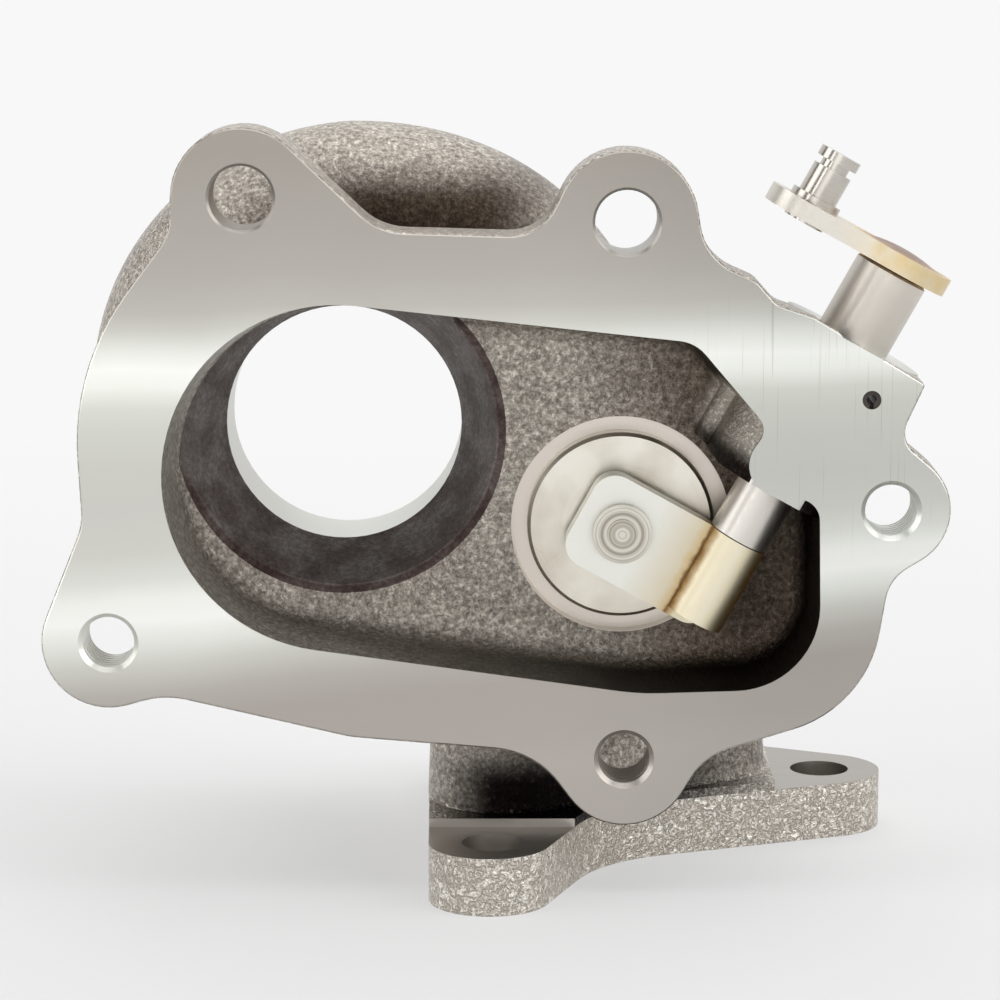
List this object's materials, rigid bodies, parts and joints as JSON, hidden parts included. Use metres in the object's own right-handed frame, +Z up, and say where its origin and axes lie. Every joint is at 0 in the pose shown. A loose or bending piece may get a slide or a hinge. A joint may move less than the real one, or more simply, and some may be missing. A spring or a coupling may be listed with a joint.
{
  "type": "turbine housing",
  "caption": "Turbocharger turbine housing with a scroll, inlet and outlet flanges and a swinging bypass valve worked by an outside crank.",
  "frame": {"origin": "turbine axis at the outlet lip of the turbine bore", "axes": "+Y along the turbine axis away from the outlet, +Z up, the inlet flange facing down"},
  "size_m": [0.1513, 0.0979, 0.1288],
  "materials": {
    "housing_casting": "cast and part machined",
    "shaft_bush": "turned",
    "bush_lock_pin": "spring steel",
    "lever_arm": "satin",
    "lever_shaft": "turned, heat tinted",
    "valve_disc": "turned",
    "valve_washer": "turned",
    "crank_arm": "satin, heat tinted",
    "crank_pin": "turned",
    "locating_dowel": "ground"
  },
  "bodies": {
    "housing": {"housing_casting": "housing_casting", "shaft_bush": "shaft_bush", "bush_lock_pin": "bush_lock_pin", "locating_dowel": "locating_dowel"},
    "lever": {"lever_arm": "lever_arm", "lever_shaft": "lever_shaft", "crank_arm": "crank_arm", "crank_pin": "crank_pin"},
    "valve": {"valve_disc": "valve_disc", "valve_washer": "valve_washer"}
  },
  "joints": [
    {"name": "lever_swing", "type": "hinge", "parent": "housing", "child": "lever", "pos_m": [0.067, -0.0164, -0.0173], "axis": [0.4848, 0, 0.8746], "range_deg": [0, 45]},
    {"name": "valve_spin", "type": "hinge", "parent": "lever", "child": "valve", "pos_m": [0.0474, -0.0155, -0.016], "axis": [0, 1, 0], "continuous": true}
  ]
}
